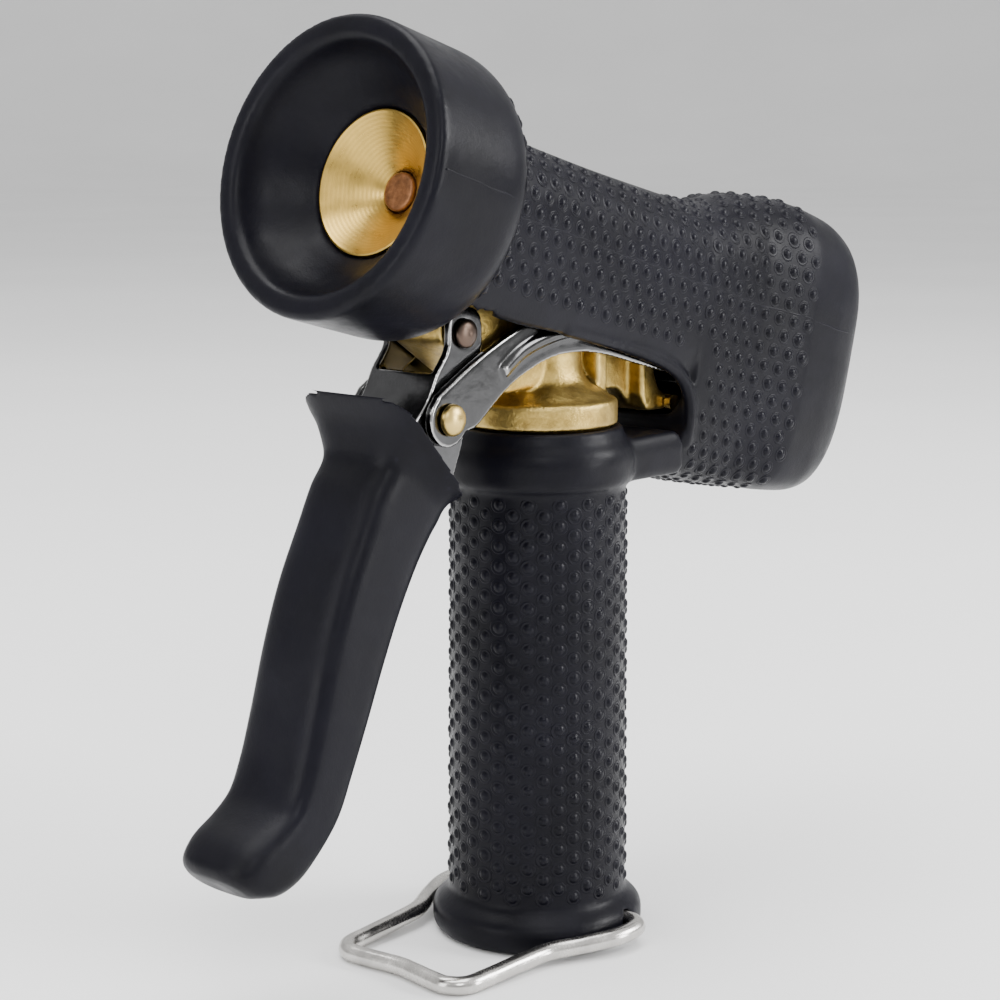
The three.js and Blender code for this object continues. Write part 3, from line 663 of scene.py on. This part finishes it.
def make_body_cover():
    cup = corners([(0, 36.2), (30.6, 36.2, 9), (30.92, 66.45, 1.6), (26.2, 66.5, 1.7),
                   (24.2, 61.2, 5), (17.2, 54, 2), (NOSE_BORE, 52.6, 0.4), (NOSE_BORE, 38), (0, 38)], 10)
    cover = combine(barrel_loft("body_cover_shell", COVER),
                    ("+", turned("cup_back", [(0, 36.4), (26, 36.6), (26, 40), (0, 40)], 160,
                                 barrel=True)),
                    ("-", barrel_loft("bay", BAY, count=96)),
                    ("-", plate("lever_bay", corners([
                        (-41, 100), (-41, 144.6), (-21, 139.2), (0, 134.9), (34.2, 124, 9.5),
                        (33.8, 111.2, 1.5), (30.3, 111.2), (30.3, 100)]), -24, 24)),
                    ("-", turned("pocket", [(0, 37), (NOSE_BORE, 37), (NOSE_BORE, 70), (0, 70)], 160,
                                 barrel=True)),
                    ("+", turned("cup", cup, 160, barrel=True)),
                    ("+", lip("lip_right", -1)), ("+", lip("lip_left", 1)),
                    ("-", turned("throat", [(0, 30), (BARREL_BORE, 30), (BARREL_BORE, 38),
                                            (NOSE_BORE, 38.4), (NOSE_BORE, 53), (0, 53)], 160,
                                 barrel=True)))
    return soften(cover, 0.72, 3)


cover = make_body_cover()
outer = Loft(COVER, 2.0)
cover_tree = surface(cover)


def side_point(t, run, side):
    """A start outside the sleeve or block, run millimetres round the section from its side."""
    half, top, bottom, power, foot = outer.row(t)
    height, square = (top, power) if run >= 0 else (bottom, foot)
    a, b = quarter(half, height, square, 200)
    a, b = np.append(a, 0), np.append(b, height)
    length = np.concatenate([[0], np.cumsum(np.hypot(np.diff(a), np.diff(b)))])
    want = abs(run)
    if want > length[-1] - 1.5:
        return None
    y, h = np.interp(want, length, a), np.interp(want, length, b)
    ahead = min(want + 0.4, length[-1])
    dy, dh = np.interp(ahead, length, a) - y, np.interp(ahead, length, b) - h
    size = math.hypot(dy, dh) or 1
    out = np.array([dh, -dy]) / size
    sign = 1 if run >= 0 else -1
    return side * y, sign * h, side * out[0], sign * out[1]


def cover_seats():
    seats = []
    row_gap, nub_gap, front, rear = 3.9, 4.55, 33.2, -79.2
    for k in range(-14, 12):
        run = (k + 0.5) * row_gap
        for i in range(30):
            t = front - nub_gap * i - (2.27 if k % 2 else 0)
            if t < rear:
                continue
            for side in (-1, 1):
                found = side_point(t, run, side)
                if found is None:
                    continue
                y, h, ny, nh = found
                if t > -44.5 and h < -15.4:
                    continue
                if t > -48.5 and h < -12.5 and t < -36:
                    continue
                if -39 < t < 30.5 and h > 0 and abs(y) < 7.2:
                    continue
                seat = on_barrel([t, y, h])
                out = on_barrel([t, y + ny, h + nh]) - seat
                at, normal = hit(cover_tree, seat + out * 4, -out, 9)
                if at is not None and normal @ out > 0.6:
                    seats.append((at, normal))
    for radius, phase in ((20.4, 0), (24.4, 0.5), (28.0, 0)):
        count = int(2 * math.pi * radius / 4.4)
        for i in range(count):
            angle = (i + phase) * 2 * math.pi / count
            y, h = radius * math.sin(angle), radius * math.cos(angle)
            if abs(y) < 18.6 and -21 < h < 20.4 or abs(h) < 1.9 or abs(y) < 15 and h < 0:
                continue
            start = on_barrel([31.0, y, h])
            way = on_barrel([32.0, y, h]) - start
            at, normal = hit(cover_tree, start, way, 12)
            if at is not None and normal @ way < -0.2:
                seats.append((at, normal))
    return seats


dress(cover, RUBBER, "body", "rubber", "body_cover")
dress(nubs("body_cover_nubs", cover_seats()), NUB_RUBBER, "body", "rubber")


def cover_lines():
    for side, label in ((-1, "right"), (1, "left")):
        seats = []
        for t in np.arange(64.6, -99.5, -0.9):
            wobble = 0.18 * math.sin(t * 0.23) + 0.1 * math.sin(t * 0.71)
            start = on_barrel([t, side * 40, wobble])
            at, normal = hit(cover_tree, start, (0, -side, 0), 40)
            if at is not None and 35.0 < t < 40.0 and abs(at[1]) < 17.5:
                continue
            if at is not None:
                seats.append((at, normal))
        dress(parting_line("body_cover_seam_" + label, seats), RUBBER, "body", "rubber")


cover_lines()


# ---------- grip ----------

def make_grip():
    outer_side = corners([
        (0, 0), (19.9, 0, 0.1), (22.4, 0.0, 1.2), (23.8, 1.6, 1.2), (23.8, 6.1, 1.8),
        (21.6, 8.1, 1.4), (19.95, 9.4, 0.9), (19.6, 60), (19.4, 102.5), (19.4, 106), (0, 106)], 8)
    grip = turned("grip_sleeve_shell", np.concatenate([[(0, 0)], outer_side[1:-1], [(0, 106)]]),
                  144)
    turn = math.asin(COLLAR_FLAT / COLLAR_RADIUS)
    arc = [(COLLAR_RADIUS * math.cos(a), COLLAR_RADIUS * math.sin(a))
           for a in np.linspace(turn, 2 * math.pi - turn, 72)]
    flat_shape = np.array([(30, -COLLAR_FLAT), (30, COLLAR_FLAT), *arc])
    count = len(flat_shape)
    inset = lambda d: np.array([(x - d * x / math.hypot(x, y), y - d * y / math.hypot(x, y))
                                for x, y in flat_shape])
    levels = [(102.5, 1.6), (103, 0.7), (104, 0.1), (108.6, 0), (110.4, 0.4), (111.7, 1.2), (112.3, 2.4)]
    rings = [np.column_stack([inset(d), np.full(count, z)]) for z, d in levels]
    grip = combine(grip, ("+", skin("collar", rings)),
                   ("+", turned("shelf", [(0, 110), (20.4, 111), (19.2, 113), (18.5, 115.3),
                                          (0, 115.3)], 144)),
                   ("-", turned("bore", [(0, -1), (15.5, -1), (15.5, 30.3), (12.5, 30.3),
                                         (12.5, 104.7), (16.1, 104.7), (16.1, 118), (0, 118)],
                                96)),
                   ("-", cross_hole(2.3, BAIL_HINGE, 32, half=26)))
    return soften(grip, 0.7, 4)


grip = make_grip()
grip_tree = surface(grip)


def grip_seats():
    seats = []
    columns, low, nub_gap = 36, 12.2, 4.5
    for k in range(columns):
        angle = (k + 0.5) * 2 * math.pi / columns
        way = np.array([math.cos(angle), math.sin(angle), 0])
        for i in range(21):
            z = low + nub_gap * i - (nub_gap / 2 if k % 2 else 0)
            if not 11.2 < z < 100.8:
                continue
            at, normal = hit(grip_tree, way * 30 + (0, 0, z), -way, 20)
            if at is not None:
                seats.append((at, normal))
    return seats


dress(grip, RUBBER, "body", "rubber", "grip_sleeve")
dress(nubs("grip_sleeve_nubs", grip_seats(), 0.97), NUB_RUBBER, "body", "rubber")


# ---------- lever ----------

LEVER = [
    (-58.6, 127.6, -38.4, 104, 16.3, 5), (-57.2, 121, -39.4, 102.8, 13.4, 4.6),
    (-57.4, 115, -40.6, 100, 11.5, 4.2), (-61.3, 108.8, -43.4, 96.6, 11.4, 4.2),
    (-65.1, 101, -47.3, 91.4, 11.4, 4.2), (-70.7, 89.5, -52.6, 82.2, 11.4, 4.2),
    (-75, 77.5, -57.4, 72.2, 11.4, 4.2), (-78.8, 64, -62.4, 61, 11.4, 4.2),
    (-82, 54, -66.8, 51.6, 11.4, 4.2), (-84.8, 48.6, -70.4, 43.8, 11.4, 4),
    (-89, 45.4, -76, 37, 11.4, 3.8), (-94, 42.8, -82.4, 31.8, 11.3, 3.6),
    (-97, 40, -87.4, 30.4, 10.8, 3.4), (-98.4, 37.4, -91, 30.8, 9.4, 3),
    (-98.2, 36, -92.4, 30.9, 7.8, 2.8), (-97.3, 34.8, -93.7, 31.6, 5, 2.4),
]


def lever_inside(name, inset):
    rows = [(-64, 156, -10, 150, 15, 8), (-57, 118, -30, 114, 12, 8)]
    for fx, fz, rx, rz, half, power in LEVER[2:]:
        depth = math.hypot(rx - fx, rz - fz)
        dx, dz = (rx - fx) * inset / depth, (rz - fz) * inset / depth
        rows.append((fx + dx, fz + dz, rx - dx, rz - dz, half - inset, power))
    return edge_loft(name, rows, 2.0, 80)


def channel_blank(name, grow, half, top):
    shape = corners([
        (-42 - grow, top, 1), (-45.2 - grow, 125, 3), (-57 - grow, 113.6, 6), (-70 - grow, 86, 6),
        (-78 - grow, 62 - grow, 1), (-64 + grow, 60 - grow, 1), (-54.6 + grow, 82, 5),
        (-44 + grow, 98, 5), (-33.4 + grow, 112, 6), (-31 + grow, top, 4)])
    return plate(name, shape, -half, half)


def make_trigger_cover():
    pocket = combine(channel_blank("pocket", 0.3, EAR_OUT + 0.3, 150),
                     ("&", lever_inside("inside", SKIN)))
    tip = edge_loft("trigger_cover_skin", LEVER)
    return soften(combine(tip, ("-", pocket)), 0.44, 6)


dress(make_trigger_cover(), RUBBER, "trigger", "rubber", "trigger_cover")


def make_channel():
    px, pz = PIVOT
    lx, lz = LINK
    profile = corners([
        (-42.4, 130.6, 0.8), (-38.7, 135.2, 2), (px - 4.3, pz + 5.4, 4.2),
        (px + 5.6, pz + 5.4, 4.6), (px + 5.6, pz - 6, 4), (lx + 5.4, lz + 8, 4),
        (lx + 7.6, lz - 3, 5), (-38.6, 106, 6), (-44, 98, 4), (-54.6, 82, 5), (-64, 60, 1),
        (-78, 62, 1), (-70, 86, 6), (-57, 113.6, 6), (-45.2, 125, 3)], 12)
    core = corners([
        (-20, 146), (-39.6, 146), (-39.6, 131.6, 0.4), (-43.2, 125, 2), (-55, 113, 6),
        (-67.4, 85.6, 6), (-76.4, 56), (-50, 52), (-20, 90)], 12)
    channel = combine(
        plate("trigger_channel_sheet", profile, -EAR_OUT, EAR_OUT),
        ("&", lever_inside("inside", SKIN + 0.3)),
        ("-", plate("core", core, -EAR_OUT + SHEET, EAR_OUT - SHEET)),
        ("-", slab("gap", (-60, -EAR_OUT + SHEET, 130.4), (-20, EAR_OUT - SHEET, 150))),
        ("-", cross_hole(2.7, PIVOT, 48)),
        ("-", cross_hole(3.5, LINK, 48)))
    return soften(channel, 0.36, 4)


dress(make_channel(), SHEET_STEEL, "trigger", "plated_steel", "trigger_channel")


# ---------- pins ----------

def headed_pin(name, centre, radius, head, dome, seat):
    half = seat + 0.15
    arc = [(head * math.cos(a), half + 0.35 + dome * math.sin(a) * 0.84)
           for a in np.linspace(0, math.pi / 2, 12)]
    top = [(radius, half), (head * 0.96, half), (head, half + 0.12), *arc[:-1],
           (0, half + dome)]
    bottom = [(r, -y) for r, y in reversed(top)]
    pin = turned(name, bottom + top, 48, across=centre)
    return crisp(pin, 40)


dress(headed_pin("pivot_pin_turned", PIVOT, 2.4, 3.0, 1.3, EAR_OUT + 0.3), DARK_PIN, "body",
      "plated_steel", "pivot_pin")
dress(headed_pin("link_pin_turned", LINK, 2.0, 3.35, 2.2, YOKE_OUT + 0.3), PIN_BRASS, "stem",
      "turned_brass", "link_pin")


# ---------- yoke ----------

def barrel_xz(forward, up):
    x, _, z = on_barrel([forward, 0, up])
    return x, z


def yoke_arm(name, side):
    bend = [(24, -46.5, 5), (14.4, -33.6, 6), (3.4, -25.6, 6), (-6, -22.3, 6), (-16, YOKE_LOW, 4),
            (YOKE_BRIDGE, YOKE_LOW, 0.5), (YOKE_BRIDGE, YOKE_HIGH, 0.5), (0, YOKE_HIGH, 12),
            (14.4, -21.2, 8), (25.4, -30, 6), (36, -40.6, 2)]
    low, high = (YOKE_IN, YOKE_OUT) if side > 0 else (-YOKE_OUT, -YOKE_IN)
    shape = corners([(*barrel_xz(f, u), r) for f, u, r in bend], 12)
    arm = plate(name, shape, low, high)
    rib_line = spline([(*barrel_xz(f, u), 0) for f, u in
                       ((17.2, -31.2), (12.6, -26.2), (5.6, -21.8), (-3, -18.4), (-14, -17.4))],
                      60)
    rib_line = np.stack([rib_line[:, 0], np.full(60, side * (YOKE_OUT - 0.95)), rib_line[:, 1]],
                        -1)
    rib = combine(tube("rib", rib_line, 1.9, 20),
                  ("&", slab("keep", (-60, *((10.2,) if side > 0 else (-13,)), 100),
                             (40, *((13,) if side > 0 else (-10.2,)), 180))))
    return combine(arm,
                   ("+", turned("eye", [(0, low), (5.7, low), (5.7, high), (0, high)], 64,
                                across=LINK)),
                   ("+", rib),
                   ("-", cross_hole(2.3, LINK, 40, half=16)))


def make_yoke():
    shape = corners([(-YOKE_OUT, YOKE_LOW, 1), (YOKE_OUT, YOKE_LOW, 1), (YOKE_OUT, YOKE_HIGH, 2),
                     (7.4, 7.4, 5), (-7.4, 7.4, 5), (-YOKE_OUT, YOKE_HIGH, 2)], 8)
    rings = [on_barrel(np.column_stack([np.full(len(shape), f), shape]))
             for f in (YOKE_BRIDGE - 2.0, YOKE_BRIDGE + 0.2)]
    yoke = combine(yoke_arm("link_yoke_strap", 1), ("+", yoke_arm("near", -1)),
                   ("+", skin("bridge", rings)),
                   ("-", turned("stem_hole", [(0, YOKE_BRIDGE - 6), (2.9, YOKE_BRIDGE - 6),
                                              (2.9, YOKE_BRIDGE + 6), (0, YOKE_BRIDGE + 6)], 40,
                                barrel=True)))
    return soften(yoke, 0.4, 5)


dress(make_yoke(), POLISHED, "stem", "polished_steel", "link_yoke")


# ---------- valve body ----------

def make_valve_body():
    px, pz = PIVOT
    neck = corners([
        (0, 105), (15.8, 105), (15.8, 115.6), (17.5, 115.6, 0.5), (17.5, 121, 0.9),
        (15.8, 121.5, 0.8), (10.4, 125.2, 2), (9.4, 128.4, 2), (9.4, 152), (0, 152)], 8)
    barrel = [(0, -46), (11.7, -46), (12.5, -45.2), (12.5, 26), (14.2, 30), (14.2, 40.4), (0, 40.4)]
    chamber = [(0, -47), (10, -47), (10, -37), (8.5, -37), (8.5, 33.7), (11.3, 33.7), (11.3, 41),
               (0, 41)]
    passage = [(0, 104), (12.5, 104), (12.5, 117.8), (7.5, 120.5), (7.5, 152), (0, 152)]
    rear = [(30.5, 137), (30.8, 126, 4), (33.4, 120.2, 2), (39.2, 118.8, 1.2),
            (39.2, 115.9, 1.2), (28, 115.9, 3)]
    web = corners([(6, 142), *rear, (23, 121.4, 2), (6, 121.4)])
    foot = corners([(26.4, 138), *rear, (26.4, 120)])
    lug = corners([(px - 3.4, pz + 14), (px - 5.2, pz - 1.3, 2.5), (px + 7.3, pz - 9.6, 3),
                   (px + 15, pz - 14.4, 3), (0, 125.4, 2), (0, 150)])
    body = combine(
        turned("valve_body_casting", np.concatenate([[(0, 105)], neck[1:-1], [(0, 152)]]), 128),
        ("+", turned("barrel", barrel, 96, barrel=True)),
        ("+", plate("lug", lug, -7.2, 7.2, 0.6)),
        ("+", plate("web", web, -4, 4, 0.5)),
        ("+", plate("foot", foot, -8, 8, 0.6)),
        ("+", plate("rib", [(9, 122), (12.6, 122), (12.6, 142), (9, 142)], -9.4, 9.4, 0.5)),
        ("-", turned("chamber", chamber, 80, barrel=True)),
        ("-", turned("passage", passage, 64)),
        ("-", cross_hole(2.7, PIVOT, 40)),
        ("-", cross_hole(1.5, (36.2, 117.4), 32)))
    return soften(body, 0.5, 3)


dress(make_valve_body(), CAST, "body", "cast_brass", "valve_body")


# ---------- nozzle ----------

insert = turned("nozzle_insert_turned", [
    (4.44, 43.3), (4.44, 44.4), (4.7, 44.75), (9.6, 48.6), (14.3, 52.6), (14.7, 52.9),
    (15.05, 52.8), (15.2, 52.4), (15.2, 41), (11, 41), (11, 34), (8.2, 34), (8.2, 40.2),
    (5.4, 40.2), (5.4, 43.3), (4.44, 43.3)], 144, barrel=True)
dress(crisp(insert, 28), INSERT, "body", "turned_brass", "nozzle_insert")

tip = turned("spindle_tip_turned", [
    (0, 42), (1.9, 42), (1.9, 38.5), (3.4, 38.5), (4.1, 39.3), (4.1, 44.7), (4.02, 45.0),
    (3.8, 45.22), (3.4, 45.32), (2.2, 45.26), (0, 45.2)], 64, barrel=True)
dress(crisp(tip, 40), COPPER, "stem", "copper", "spindle_tip")


# ---------- bail ----------

def make_bail():
    x, z = BAIL_HINGE
    slope = (z - WIRE_RADIUS) / 46
    at = lambda ahead, y: (x - ahead, y, max(z - slope * ahead, WIRE_RADIUS))
    half = [(0, 13.4), (0, 20), (0, 24), (1.6, 26.4), (5, 27), (9, 26.6), (16, 23.8), (24, 20),
            (32, 19), (42, 18.4), (48, 17.6), (50.6, 14.6), (50.6, 10), (49.8, 4), (49.4, 0)]
    near = [at(a, -y) for a, y in half]
    far = [at(a, y) for a, y in reversed(half[:-1])]
    bail = tube("bail_wire", spline(near + far, 260), WIRE_RADIUS, 20)
    return crisp(bail, 50)


dress(make_bail(), WIRE, "bail", "plated_steel", "bail")


# ---------- carried-over pieces ----------

for node, material in {
    "valve_stem": STEEL, "valve_plug": INSERT, "return_spring": STEEL, "spring_washer": STEEL,
    "gland_packing": SEAL, "gland_nut": INSERT, "stem_nut": STEEL, "lock_nut": STEEL,
    "cover_screw": PIN_BRASS, "inlet_tube": INSERT, "inlet_bush": INSERT, "hose_washer": SEAL,
    "seat_washer": SEAL,
}.items():
    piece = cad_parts[node]
    piece.data.materials.clear()
    piece.data.materials.append(material)
    piece.data.shade_smooth()
    piece.data.set_sharp_from_angle(angle=math.radians(32))


# ---------- stage ----------

def floor_look():
    look = Look("floor_paper")
    paper = look.noise(3, 3)
    return look.set(Base_Color=look.colours(paper, [(0.3, (0.86, 0.86, 0.86)),
                                                    (0.7, (0.9, 0.9, 0.9))]),
                    Roughness=0.9)


def make_stage():
    """A level floor, in metres, that curves up into a backdrop all round."""
    turn, reach, height = 2.4, 5.2, 4.2
    bend = [(reach + turn * math.sin(a), turn - turn * math.cos(a))
            for a in np.linspace(0, math.pi / 2, 24)]
    profile = [(0.5, 0), (2, 0), *bend, (7.8, height)]
    sides = 128
    drop_by = FLOOR_DROP * MM
    angle = np.arange(sides) * 2 * math.pi / sides
    rings = [[(r * math.cos(a), r * math.sin(a), z - drop_by) for a in angle] for r, z in profile]
    points = [(0, 0, -drop_by)] + [p for row in rings for p in row]
    faces = [(0, 1 + j, 1 + (j + 1) % sides) for j in range(sides)]
    for i in range(len(rings) - 1):
        a, b = 1 + sides * i, 1 + sides * (i + 1)
        faces += [(a + j, b + j, b + (j + 1) % sides, a + (j + 1) % sides) for j in range(sides)]
    mesh = bpy.data.meshes.new("floor")
    mesh.from_pydata(points, [], faces)
    mesh.shade_smooth()
    mesh.materials.append(floor_look())
    floor = bpy.data.objects.new("floor", mesh)
    bpy.context.scene.collection.objects.link(floor)


def lamp(name, position, size, power):
    """A softbox in metres and watts, turned to the middle of the object."""
    light = bpy.data.lights.new(name, "AREA")
    light.shape = "RECTANGLE"
    light.size, light.size_y = size
    light.energy = power
    obj = bpy.data.objects.new(name, light)
    obj.location = position
    obj.rotation_euler = (Vector(LIT_POINT) - Vector(position)).to_track_quat("-Z", "Y").to_euler()
    obj.visible_camera = False
    bpy.context.scene.collection.objects.link(obj)


def make_lights():
    lamp("key_right", (0.7, -0.8, 0.66), (0.45, 0.45), 13)
    lamp("fill_left", (-1.25, 0.15, 0.45), (0.6, 0.9), 7)
    lamp("top", (-0.1, 0.1, 1.5), (1.3, 1.3), 34)
    lamp("front", (-0.75, -0.95, 0.9), (0.4, 0.4), 5)
    lamp("strip", (0.42, -1.0, 0.23), (0.16, 0.36), 4)
    world = bpy.data.worlds.new("studio")
    world.use_nodes = True
    world.node_tree.nodes["Background"].inputs["Color"].default_value = (1, 1, 1, 1)
    world.node_tree.nodes["Background"].inputs["Strength"].default_value = 0.9
    bpy.context.scene.world = world


def make_camera():
    data = bpy.data.cameras.new("camera")
    data.sensor_width = 36
    data.lens = LENS
    camera = bpy.data.objects.new("camera", data)
    camera.location = ((CAMERA_AT[0] + GRIP_X) * MM, CAMERA_AT[1] * MM, CAMERA_AT[2] * MM)
    camera.rotation_mode = "QUATERNION"
    camera.rotation_quaternion = Vector(CAMERA_WAY).to_track_quat("-Z", "Y")
    data.clip_start, data.clip_end = 0.01, 60
    bpy.context.scene.collection.objects.link(camera)
    bpy.context.scene.camera = camera


make_stage()
make_lights()
make_camera()
